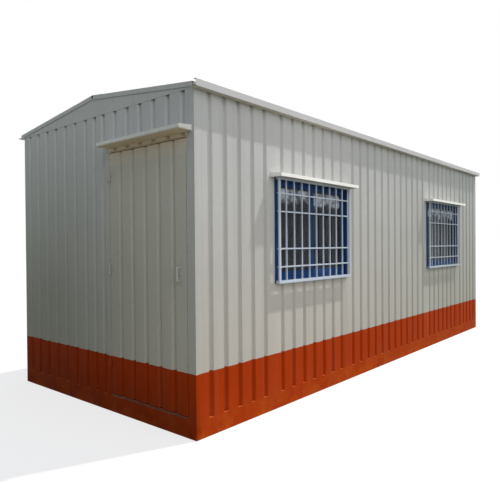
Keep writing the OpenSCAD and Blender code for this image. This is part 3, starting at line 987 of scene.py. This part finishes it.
@dataclass
class Maker:
    """Makes dressed pieces from the frame's nodes and keeps count of them."""

    frame: dict
    made: list[str] = field(default_factory=list)

    def keep(self, piece: bpy.types.Object, dress: Dress, replaces: Iterable[str] = ()) -> None:
        """Ties a finished piece to its body, and hides the nodes that it stands for.

        Args:
            piece: The finished object.
            dress: Its finish, slot and body.
            replaces: Nodes that it stands for.
        """
        body, slot = dress.body, dress.slot
        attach(piece, body.value)
        if replaces:
            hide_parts(*replaces)
        self.made.append(piece.name)
        log.info("piece %s rides on %s", piece.name, body.value)

    def add_mesh(
        self, name: str, mesh: bmesh.types.BMesh, dress: Dress, replaces: Iterable[str] = ()
    ) -> None:
        """Makes a piece at the origin from a bmesh, flat on its faces and smooth on its curves.

        Args:
            name: The new piece's name.
            mesh: Its mesh, which is used up.
            dress: Its finish, slot and body.
            replaces: Nodes that it stands for.
        """
        data = bpy.data.meshes.new(name)
        mesh.to_mesh(data)
        mesh.free()
        data.materials.append(dress.finish.material())
        data.polygons.foreach_set("use_smooth", [True] * len(data.polygons))
        data.set_sharp_from_angle(angle=SMOOTH_BEND)
        piece = bpy.data.objects.new(name, data)
        bpy.context.scene.collection.objects.link(piece)
        self.keep(piece, dress, replaces)

    def closed(self, name: str, mesh: bmesh.types.BMesh, dress: Dress) -> None:
        """Makes a piece from a closed bmesh, with its faces turned outwards."""
        bmesh.ops.recalc_face_normals(mesh, faces=mesh.faces)
        self.add_mesh(name, mesh, dress)

    def set_out(self, fixing: Fixing, name: str, marks: Sequence[Mark], dress: Dress) -> None:
        """Makes a piece that has one fixing at every mark."""
        self.keep(fixing.set_out(name, marks, dress.finish), dress)

    def merged(self, node: str) -> bmesh.types.BMesh:
        """A copy of a node's mesh with its loose triangles joined.

        Args:
            node: The node's name.

        Returns:
            The copy.
        """
        mesh = bmesh.new()
        mesh.from_mesh(self.frame["nodes"][node].data)
        bmesh.ops.remove_doubles(mesh, verts=mesh.verts, dist=MERGE_DISTANCE)
        return mesh

    def faced(self, node: str) -> bmesh.types.BMesh:
        """A copy of a node's mesh with one face for each flat side.

        Args:
            node: The node's name.

        Returns:
            The copy.
        """
        mesh = self.merged(node)
        bmesh.ops.dissolve_limit(mesh, angle_limit=FLAT_BEND, verts=mesh.verts, edges=mesh.edges)
        return mesh

    def rounded(self, node: str, radius: float, dress: Dress) -> None:
        """Makes a copy of a node with its hard edges rounded, which stands for it.

        Args:
            node: The node's name.
            radius: Width of the rounding, in metres.
            dress: The piece's finish, slot and body.
        """
        mesh = self.faced(node)
        mark = mesh.faces.layers.float.new("edge")
        hard = [edge for edge in mesh.edges if bend(edge) > HARD_BEND]
        for face in bevel(mesh, hard, radius, True)["faces"]:
            face[mark] = 1.0
        self.add_mesh(f"{node}_finish", mesh, dress, [node])

    def folded(self, node: str, radius: float, dress: Dress, axis: Axis) -> None:
        """Makes a copy of a folded sheet with the folds along one axis rounded, which stands for it.

        Args:
            node: The node's name.
            radius: Width of each fold's rounding, in metres.
            dress: The piece's finish, slot and body.
            axis: The axis that the folds run along, closest.
        """
        mesh = self.faced(node)
        folds = []
        for edge in mesh.edges:
            run = edge.verts[1].co - edge.verts[0].co
            if abs(run.normalized()[axis]) > FOLD_RUN and HARD_BEND < bend(edge) < FOLD_BEND_MAX:
                folds.append(edge)
        bevel(mesh, folds, radius, False)
        self.add_mesh(f"{node}_finish", mesh, dress, [node])

    def islands(self, node: str) -> list[Pane]:
        """The separate solids in a node.

        Args:
            node: The node's name.

        Returns:
            The low and high corner of each, in order along the cabin.
        """
        mesh = self.merged(node)
        waiting = set(mesh.verts)
        boxes = []
        while waiting:
            reached = [waiting.pop()]
            group = []
            while reached:
                vert = reached.pop()
                group.append(vert.co.copy())
                near = {edge.other_vert(vert) for edge in vert.link_edges} & waiting
                waiting -= near
                reached.extend(near)
            boxes.append(tuple(
                Vector([pick(point[axis] for point in group) for axis in Axis]) for pick in (min, max)
            ))
        mesh.free()
        return sorted(boxes, key=lambda box: box[0].x)

    def coat(self, node: str, finish: Finish) -> None:
        """Gives a node's own object a finish.

        Args:
            node: The node's name.
            finish: The finish.
        """
        data = self.frame["nodes"][node].data
        data.materials.clear()
        data.materials.append(finish.material())
        log.info("node %s is finished as %s", node, finish.name)


# Sub-assemblies


@dataclass
class Shell:
    """Base, posts, cladding and lined walls."""

    maker: Maker
    base_edge: float = 0.002
    post_edge: float = 0.0012
    fold: float = 0.002

    def build(self) -> None:
        """Makes and dresses the shell."""
        make = self.maker
        wall = Dress(WALL_PAINT, Slot.WALL)
        for node in ("base_side_rails", "base_end_rails"):
            make.rounded(node, self.base_edge, Dress(BASE_PAINT, Slot.BASE))
        make.rounded("corner_posts", self.post_edge, wall)
        for node in ("front_cladding", "back_cladding", "door_end_cladding", "far_end_cladding"):
            make.folded(node, self.fold, wall, Axis.Z)
        for node in (
            "front_wall_lower", "front_wall_upper", "front_wall_piers", "back_wall",
            "door_end_wall", "door_end_wall_over_door", "far_end_wall", "ceiling_panel",
        ):
            make.coat(node, LINING)
        make.coat("floor_deck", FLOOR_BOARD)
        for node in ("base_joists", "eave_rails", "end_rails", "ridge_beam"):
            make.coat(node, STEEL_PRIMER)


@dataclass
class Roof:
    """Roof sheets, ridge, gables, trims and their fixings."""

    maker: Maker
    fold: float = 0.002
    lip: float = 0.0006
    half_width: float = 1.22
    eave_z: float = 2.423
    slope: float = math.radians(6.6)
    sheet_t: float = 0.0015
    rib_h: float = 0.023
    ribs: int = 31
    rib_reach: float = 3.024
    rib_rows: tuple[float, ...] = (1.185, 0.62)
    cap_row: float = 0.125
    cap_level: float = 0.0281
    trim_level: float = 0.0263
    trim_reach: float = 3.0355
    trim_rows: tuple[float, ...] = (0.24, 0.46, 0.68, 0.90, 1.12)
    closer_x: Span = (3.0563, 3.0572)
    closer_y: Span = (1.2105, 1.2722)
    closer_foot: float = 2.4046

    def build(self) -> None:
        """Makes and dresses the roof."""
        make = self.maker
        roof = Dress(ROOF_PAINT, Slot.ROOF)
        for node in ("roof_sheet_front", "roof_sheet_back"):
            make.folded(node, self.fold, roof, Axis.Y)
        make.rounded("ridge_cap", self.lip, roof)
        make.rounded("gable_panels", self.lip, Dress(WALL_PAINT, Slot.WALL))
        make.rounded("eave_channels", self.lip, Dress(TRIM_PAINT, Slot.TRIM))
        make.rounded("verge_trims", self.lip, Dress(WALL_PAINT, Slot.TRIM))
        make.set_out(ROOF_SCREW, "roof_screws", self.screw_marks(), Dress(FIXING_PAINT, Slot.ROOF))
        make.set_out(TRIM_RIVET, "verge_rivets", self.rivet_marks(), Dress(FIXING_PAINT, Slot.TRIM))
        self.closers()

    def on_slope(self, x: float, out: float, side: int, level: float) -> Mark:
        """A mark on a roof slope.

        Args:
            x: Place along the cabin.
            out: Distance from the ridge line, on plan.
            side: -1 for the front slope and 1 for the back one.
            level: Height above the sheet's underside, square to the slope.

        Returns:
            The point and the direction that the slope faces.
        """
        under = self.eave_z + (self.half_width - out) * math.tan(self.slope)
        point = (x, side * out, under + level / math.cos(self.slope))
        return point, (0.0, side * math.sin(self.slope), math.cos(self.slope))

    def closers(self) -> None:
        """Plates that close both ends of the back eave, from the verge trims to the drip angle."""
        feet = [(y, self.closer_foot) for y in self.closer_y]
        heads = [self.on_slope(0.0, y, 1, self.trim_level)[0][1:] for y in reversed(self.closer_y)]
        mesh = bmesh.new()
        for end in (-1, 1):
            block(mesh, *([(end * x, y, z) for y, z in feet + heads] for x in self.closer_x))
        self.maker.closed("back_eave_closers", mesh, Dress(WALL_PAINT, Slot.TRIM))

    def screw_marks(self) -> list[Mark]:
        """Where the roof screws go: on the ribs, and through the ridge cap.

        Returns:
            A mark for each screw.
        """
        pitch = 2 * self.rib_reach / (self.ribs - 1)
        marks = []
        for side in (-1, 1):
            for count in range(self.ribs):
                x = -self.rib_reach + count * pitch
                if 0 < count < self.ribs - 1:
                    for out in self.rib_rows:
                        marks.append(self.on_slope(x, out, side, self.sheet_t + self.rib_h))
                if count % 2:
                    marks.append(self.on_slope(x, self.cap_row, side, self.cap_level))
        return marks

    def rivet_marks(self) -> list[Mark]:
        """Where the verge trims' rivets go.

        Returns:
            A mark for each rivet.
        """
        ends = (-self.trim_reach, self.trim_reach)
        return [
            self.on_slope(x, out, side, self.trim_level)
            for side in (-1, 1) for x in ends for out in self.trim_rows
        ]


@dataclass
class Window:
    """One sliding window with its guard and sunshade."""

    maker: Maker
    side: Side
    edge: float = 0.002
    bar_edge: float = 0.001
    sheet_edge: float = 0.0006
    seal: tuple[Span, ...] = (
        (0.0, 0.0001), (0.0085, 0.0001), (0.0075, 0.004), (0.002, 0.0065), (0.0, 0.0065),
    )
    film_inset: float = 0.009
    film_lift: float = 0.0005
    surround: float = 0.025
    uprights: int = 9
    cross_outer: float = 0.136
    cross_inner: float = 0.284
    bar: float = 0.012
    upright_face: float = 0.016

    def build(self) -> None:
        """Makes and dresses the window."""
        make = self.maker
        guard = Dress(GUARD_PAINT, Slot.GUARD)
        for part in ("frame", "sashes"):
            make.rounded(self.named(part), self.edge, Dress(WINDOW_PAINT, Slot.WINDOW))
        make.coat(self.named("glass"), GLASS)
        make.rounded(self.named("guard"), self.bar_edge, guard)
        make.rounded(self.named("sunshade"), self.sheet_edge, Dress(SHADE_PAINT, Slot.GUARD))
        panes = make.islands(self.named("glass"))
        self.gaskets(panes)
        self.films(panes)
        make.set_out(WELD_BEAD, self.named("guard_welds"), self.bead_marks(), guard)

    def named(self, part: str) -> str:
        """The full name of one of the window's pieces."""
        return f"{self.side.value}_window_{part}"

    @staticmethod
    def corners(pane: Pane, inset: float, y: float) -> list[Point]:
        """A rectangle inside a pane's edges.

        Args:
            pane: The pane's low and high corner.
            inset: Distance from the pane's edges.
            y: Place across the cabin.

        Returns:
            Its four corners, from the lower left one, as seen from in front.
        """
        left, right = pane[0].x + inset, pane[1].x - inset
        foot, head = pane[0].z + inset, pane[1].z - inset
        return [(left, y, foot), (right, y, foot), (right, y, head), (left, y, head)]

    def gaskets(self, panes: Sequence[Pane]) -> None:
        """Makes the rubber strips round both faces of each pane, mitred at the corners.

        Args:
            panes: Each pane's low and high corner.
        """
        mesh = bmesh.new()
        for pane in panes:
            for face, out in ((pane[0].y, -1.0), (pane[1].y, 1.0)):
                rows = []
                for inset, lift in self.seal:
                    corners = self.corners(pane, inset, face + out * lift)
                    rows.append([mesh.verts.new(corner) for corner in corners])
                for row, following in zip(rows, rows[1:] + rows[:1]):
                    ring(mesh, row, following)
        self.maker.closed(self.named("gaskets"), mesh, Dress(GASKET, Slot.WINDOW))

    def films(self, panes: Sequence[Pane]) -> None:
        """Makes the painted reflection on the outside of each pane.

        Args:
            panes: Each pane's low and high corner.
        """
        mesh = bmesh.new()
        for pane in panes:
            corners = self.corners(pane, self.film_inset, pane[0].y - self.film_lift)
            mesh.faces.new([mesh.verts.new(corner) for corner in corners])
        self.maker.add_mesh(self.named("films"), mesh, Dress(PAINTED_REFLECTION, Slot.GLASS))

    def bead_marks(self) -> list[Mark]:
        """Where the guard's bars are welded: above and below each crossing.

        Returns:
            A mark for each bead.
        """
        low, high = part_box(f"{self.side.value}_window_guard")
        spacing = (high[0] - low[0] - self.surround) / (self.uprights + 1)
        levels = (
            low[2] + self.cross_outer, low[2] + self.cross_inner,
            high[2] - self.cross_inner, high[2] - self.cross_outer,
        )
        y = low[1] + self.upright_face
        slant = math.sqrt(0.5)
        marks = []
        for count in range(1, self.uprights + 1):
            x = low[0] + self.surround / 2 + count * spacing
            for level in levels:
                for turn in (-1, 1):
                    marks.append(((x, y, level + turn * self.bar / 2), (0.0, -slant, turn * slant)))
        return marks


@dataclass
class Door:
    """The door, its frame, fittings and canopy."""

    maker: Maker
    edge: float = 0.002
    fitting_edge: float = 0.0008
    sheet_edge: float = 0.0006
    flap_x: float = -3.053
    hinge_y: float = -0.231
    hinge_heights: tuple[float, ...] = (1.893, 1.152, 0.411)
    flap_mid: float = 0.024
    flap_screws: tuple[float, ...] = (0.012, 0.034)
    lock_y: float = -1.070
    lock_z: float = 1.135
    lock_screw: float = 0.062
    key_w: float = 0.0022
    key_h: float = 0.0085
    key_sides: int = 12
    key_depths: Span = (-0.0004, 0.001)
    soffit_back: float = -3.0505
    soffit_inset: float = 0.0014
    soffit_levels: Span = (0.0004, 0.0016)

    def build(self) -> None:
        """Makes and dresses the door."""
        make = self.maker
        make.rounded("door_leaf", self.edge, Dress(DOOR_PAINT, Slot.WALL, Body.DOOR))
        make.rounded("door_jambs", self.edge, Dress(DOOR_PAINT, Slot.WALL))
        make.rounded("door_head", self.edge, Dress(HEAD_PAINTED_LIGHT, Slot.WALL))
        make.rounded("door_threshold", self.edge, Dress(STEEL_PRIMER, Slot.STEEL))
        make.rounded("door_canopy", self.sheet_edge, Dress(CANOPY_PAINT, Slot.TRIM))
        make.rounded("door_hinge_seats", self.fitting_edge, Dress(FITTING_PAINT, Slot.FITTING))
        for node in ("door_hinge_barrels", "door_lock_plate", "door_pull"):
            make.rounded(node, self.fitting_edge, Dress(FITTING_PAINT, Slot.FITTING, Body.DOOR))
        self.soffit()
        self.screws()
        self.keyhole()

    def soffit(self) -> None:
        """The sheet that closes the canopy from below, in a warm colour that is painted light."""
        low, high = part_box("door_canopy")
        front, back = low[0] + self.soffit_inset, self.soffit_back
        left, right = low[1] + self.soffit_inset, high[1] - self.soffit_inset
        corners = ((front, left), (back, left), (back, right), (front, right))
        mesh = bmesh.new()
        block(mesh, *([(x, y, low[2] + level) for x, y in corners] for level in self.soffit_levels))
        self.maker.closed("door_canopy_soffit", mesh, Dress(SOFFIT_PAINTED_LIGHT, Slot.TRIM))

    def screws(self) -> None:
        """Screws through the hinge flaps and the lock plate."""
        out = (-1.0, 0.0, 0.0)
        fixed = []
        moving = []
        for height in self.hinge_heights:
            for step in self.flap_screws:
                fixed.append(((self.flap_x, self.hinge_y + self.flap_mid, height - step), out))
                moving.append(((self.flap_x, self.hinge_y - self.flap_mid, height + step), out))
        for step in (-self.lock_screw, self.lock_screw):
            moving.append(((self.flap_x, self.lock_y, self.lock_z + step), out))
        on_seats = Dress(FITTING_PAINT, Slot.FITTING)
        self.maker.set_out(FLAP_SCREW, "hinge_seat_screws", fixed, on_seats)
        on_leaf = Dress(FITTING_PAINT, Slot.FITTING, Body.DOOR)
        self.maker.set_out(FLAP_SCREW, "door_leaf_screws", moving, on_leaf)

    def keyhole(self) -> None:
        """A near-black plug at the lock's face: painted shade that stands for the key's slot in the lock
        cylinder.
        """
        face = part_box("door_lock_plate")[0][0]
        half_w, half_h = self.key_w / 2, self.key_h / 2
        outline = []
        for count in range(self.key_sides):
            angle = math.tau * count / self.key_sides
            end = math.copysign(half_h - half_w, math.sin(angle))
            y = self.lock_y + half_w * math.cos(angle)
            outline.append((y, self.lock_z + end + half_w * math.sin(angle)))
        mesh = bmesh.new()
        block(mesh, *([(face + depth, y, z) for y, z in outline] for depth in self.key_depths))
        self.maker.closed("door_keyhole", mesh, Dress(KEYHOLE_SHADOW, Slot.FITTING, Body.DOOR))


# Stage


@dataclass(frozen=True)
class Stage:
    """Camera, lamps, world and floor."""

    eye: Point = (-5.4102, -3.7355, 1.3341)
    yaw: float = math.radians(40.619)
    pitch: float = math.radians(-0.539)
    roll: float = math.radians(-0.436)
    focal_px: float = 505.4
    frame_px: float = 500.0
    sensor: float = 36.0
    sun_travel: Point = (-0.436, 0.174, -0.883)
    sun_level: float = 3.9
    sun_spread: float = math.radians(1.2)
    key_travel: Point = (0.20, 0.94, -0.27)
    key_level: float = 1.7
    key_spread: float = math.radians(80.0)
    fill_level: float = 0.40
    sky_tint: Colour = (0.89, 0.96, 1.13, 1.0)
    warm_bounce: Colour = (0.33, 0.275, 0.215, 1.0)
    cool_bounce: Colour = (0.13, 0.15, 0.10, 1.0)
    warm_from: Span = (-3.6, -2.8)
    warm_to: Span = (-2.2, 1.4)
    shown_floor: Colour = (0.2, 0.2, 0.2, 1.0)
    floor_glow: float = 0.74
    floor_half: float = 150.0

    def build(self) -> None:
        """Makes the camera, lamps, world and floor."""
        self.camera()
        self.lamp("sun lamp", self.sun_travel, self.sun_level, self.sun_spread)
        self.lamp("soft key lamp", self.key_travel, self.key_level, self.key_spread)
        self.world()
        self.floor()

    def camera(self) -> None:
        """The camera at the photograph's place and angle."""
        level = math.cos(self.pitch)
        forward = Vector((math.cos(self.yaw) * level, math.sin(self.yaw) * level, math.sin(self.pitch)))
        right = forward.cross(Vector((0, 0, 1))).normalized()
        up = right.cross(forward)
        turned_right = math.cos(self.roll) * right + math.sin(self.roll) * up
        turned_up = -math.sin(self.roll) * right + math.cos(self.roll) * up
        rows = Matrix((turned_right, turned_up, -forward)).transposed()
        data = bpy.data.cameras.new("camera")
        data.sensor_width = self.sensor
        data.lens = self.focal_px / self.frame_px * self.sensor
        data.clip_end = 2 * self.floor_half
        camera = bpy.data.objects.new("camera", data)
        camera.matrix_world = Matrix.Translation(self.eye) @ rows.to_4x4()
        bpy.context.scene.collection.objects.link(camera)
        bpy.context.scene.camera = camera

    def lamp(self, name: str, travel: Point, level: float, spread: float) -> None:
        """A sun lamp whose light travels along a direction.

        Args:
            name: The lamp's name.
            travel: Direction in which its light goes.
            level: Its strength.
            spread: The angle that it fills, which softens its shadows.
        """
        data = bpy.data.lights.new(name, "SUN")
        data.energy = level
        data.angle = spread
        lamp = bpy.data.objects.new(name, data)
        lamp.rotation_mode = "QUATERNION"
        lamp.rotation_quaternion = Vector(travel).to_track_quat("-Z", "Y")
        bpy.context.scene.collection.objects.link(lamp)

    @staticmethod
    def seen(sketch: Sketch) -> Socket:
        """What tells the background that shows from the light that falls on the object.

        Args:
            sketch: A material's or the world's tree.

        Returns:
            One for a ray that shows the background, and zero for one that only lights the object.
        """
        path = sketch.put("ShaderNodeLightPath").outputs
        shown = sketch.math("MAXIMUM", path["Is Camera Ray"], path["Is Glossy Ray"])
        return sketch.math("MAXIMUM", shown, path["Is Transmission Ray"])

    def world(self) -> None:
        """A white background that lights the object at a plain level."""
        world = bpy.data.worlds.new("studio")
        world.use_nodes = True
        sketch = Sketch(world.node_tree)
        seen = self.seen(sketch)
        strength = sketch.ramp(seen, low=0.0, high=1.0, start=self.fill_level)
        colour = sketch.mix(seen, self.sky_tint, WHITE)
        back = sketch.put("ShaderNodeBackground", {"Color": colour, "Strength": strength})
        sketch.put("ShaderNodeOutputWorld", {"Surface": back.outputs[0]})
        bpy.context.scene.world = world

    def floor(self) -> None:
        """A pale floor that keeps a soft shadow, and throws back warm light beside the near half."""
        mesh = bmesh.new()
        bmesh.ops.create_grid(mesh, x_segments=1, y_segments=1, size=self.floor_half)
        data = bpy.data.meshes.new("floor")
        mesh.to_mesh(data)
        mesh.free()
        material = bpy.data.materials.new("pale floor")
        material.use_nodes = True
        sketch = Sketch(material.node_tree)
        seen = self.seen(sketch)
        along = sketch.parts(sketch.place())[Axis.X]
        warm = sketch.times(sketch.ramp(along, *self.warm_from), sketch.fade(along, *self.warm_to))
        bounce = sketch.mix(warm, self.cool_bounce, self.warm_bounce)
        face = sketch.mix(seen, bounce, self.shown_floor)
        matt = sketch.put("ShaderNodeBsdfDiffuse", {"Color": face})
        glow_level = sketch.times(seen, self.floor_glow)
        glow = sketch.put("ShaderNodeEmission", {"Color": WHITE, "Strength": glow_level})
        both = sketch.put("ShaderNodeAddShader", {0: matt.outputs[0], 1: glow.outputs[0]})
        sketch.put("ShaderNodeOutputMaterial", {"Surface": both.outputs[0]})
        data.materials.append(material)
        floor = bpy.data.objects.new("floor", data)
        bpy.context.scene.collection.objects.link(floor)


def main() -> None:
    """Builds the classes in order."""
    logging.basicConfig(level=logging.INFO, format="%(name)s: %(message)s")
    for name in STARTUP_OBJECTS:
        if name in bpy.data.objects:
            bpy.data.objects.remove(bpy.data.objects[name])
    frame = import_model()
    bpy.context.scene.view_settings.view_transform = "Standard"
    Stage().build()
    maker = Maker(frame)
    Shell(maker).build()
    Roof(maker).build()
    for side in Side:
        Window(maker, side).build()
    Door(maker).build()
    log.info("%d pieces made", len(maker.made))


if __name__ == "__main__":
    main()
